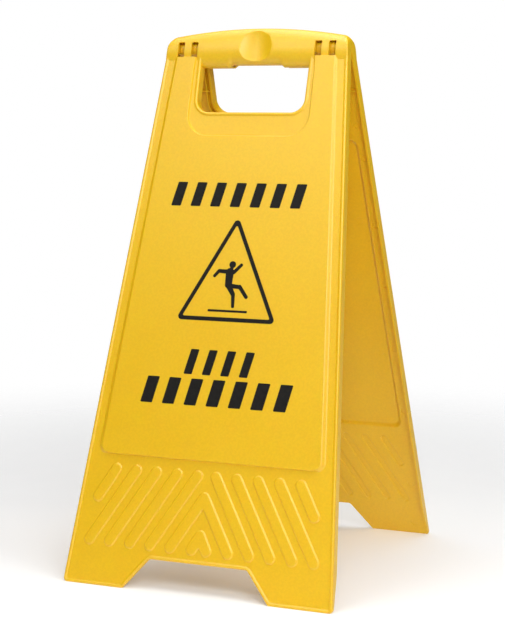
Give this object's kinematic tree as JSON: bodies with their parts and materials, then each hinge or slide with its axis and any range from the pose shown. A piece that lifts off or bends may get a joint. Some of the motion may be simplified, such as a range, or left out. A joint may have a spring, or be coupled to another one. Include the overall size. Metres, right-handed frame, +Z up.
{
  "type": "wet floor sign",
  "caption": "Folding A-frame floor sign: two yellow tray-moulded panels hinged inside a split carry grip, with a hand opening, notched feet, tread bars and black pictograms.",
  "frame": {"origin": "floor point midway between the four feet, under the hinge line, with the sign standing open", "axes": "+X along the hinge line to the right seen from the front, -Y towards the front panel, +Z up"},
  "size_m": [0.3042, 0.3542, 0.5889],
  "materials": {
    "yellow_plastic": "satin moulded",
    "pin_steel": "bright",
    "black_print": "satin ink"
  },
  "bodies": {
    "front": {"front_panel": "yellow_plastic", "hinge_pin_left": "pin_steel", "hinge_pin_right": "pin_steel", "front_upper_legend": "black_print", "front_pictogram": "black_print", "front_lower_legend": "black_print"},
    "rear": {"rear_panel": "yellow_plastic", "rear_upper_legend": "black_print", "rear_pictogram": "black_print", "rear_lower_legend": "black_print"}
  },
  "joints": [
    {"name": "fold", "type": "hinge", "parent": "front", "child": "rear", "pos_m": [0, 0, 0.56658], "axis": [-1, 0, 0], "range_deg": [0, 32.4]}
  ]
}
